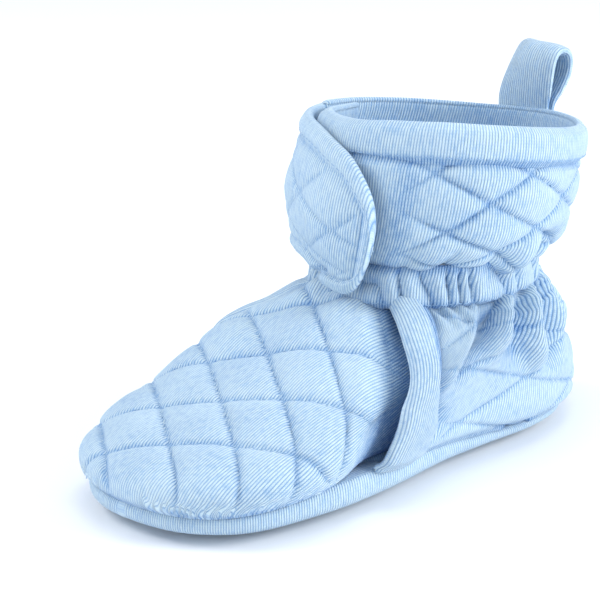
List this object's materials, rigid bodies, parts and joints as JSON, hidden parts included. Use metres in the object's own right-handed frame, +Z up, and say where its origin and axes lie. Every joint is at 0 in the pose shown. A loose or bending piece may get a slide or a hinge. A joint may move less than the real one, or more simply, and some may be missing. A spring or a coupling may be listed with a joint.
{
  "type": "baby bootie",
  "caption": "Soft quilted baby bootie with a padded sole, elastic ankle, tall cuff, hook-and-loop wrap flap, pull loop and zigzag sole grips.",
  "frame": {"origin": "on the floor, under the centre of the bootie's overall box", "axes": "+Z up, -Y towards the toe, +Y towards the heel and pull loop, +X the side the flap closes to"},
  "size_m": [0.0676, 0.1272, 0.0743],
  "materials": {
    "quilted_jersey": "soft matt quilted cotton jersey, light baby blue",
    "lining_jersey": "soft matt cotton jersey, a shade darker blue",
    "polyester_batting": "white lofty padding, sealed inside the sole",
    "elastic_webbing": "off-white flat elastic, sealed inside its casing",
    "closure_tape": "blue hook-and-loop tape",
    "silicone_print": "white satin printed silicone"
  },
  "bodies": {
    "shoe": {"outsole": "quilted_jersey", "vamp_outer": "quilted_jersey", "quarter_outer": "quilted_jersey", "quarter_edge_right": "quilted_jersey", "quarter_edge_left": "quilted_jersey", "ankle_casing_outer": "quilted_jersey", "cuff_outer": "quilted_jersey", "cuff_top_hem": "quilted_jersey", "insole": "lining_jersey", "vamp_lining": "lining_jersey", "quarter_lining": "lining_jersey", "ankle_casing_inner": "lining_jersey", "cuff_lining": "lining_jersey", "sole_batting": "polyester_batting", "ankle_elastic": "elastic_webbing", "loop_patch": "closure_tape", "grip_zigzag_1": "silicone_print", "grip_zigzag_2": "silicone_print", "grip_zigzag_3": "silicone_print", "grip_zigzag_4": "silicone_print"},
    "flap": {"flap_outer": "quilted_jersey", "flap_lining": "lining_jersey", "hook_patch": "closure_tape"},
    "loop": {"pull_loop": "quilted_jersey"}
  },
  "joints": [
    {"name": "flap_hinge", "type": "hinge", "parent": "shoe", "child": "flap", "pos_m": [-0.02847, 0.00739, 0.04497], "axis": [0.1294, -0.2335, -0.9637], "range_deg": [0, 120]},
    {"name": "pull_loop_hinge", "type": "hinge", "parent": "shoe", "child": "loop", "pos_m": [-0.00588, 0.05546, 0.06219], "axis": [1, 0, 0], "range_deg": [-40, 64]}
  ]
}
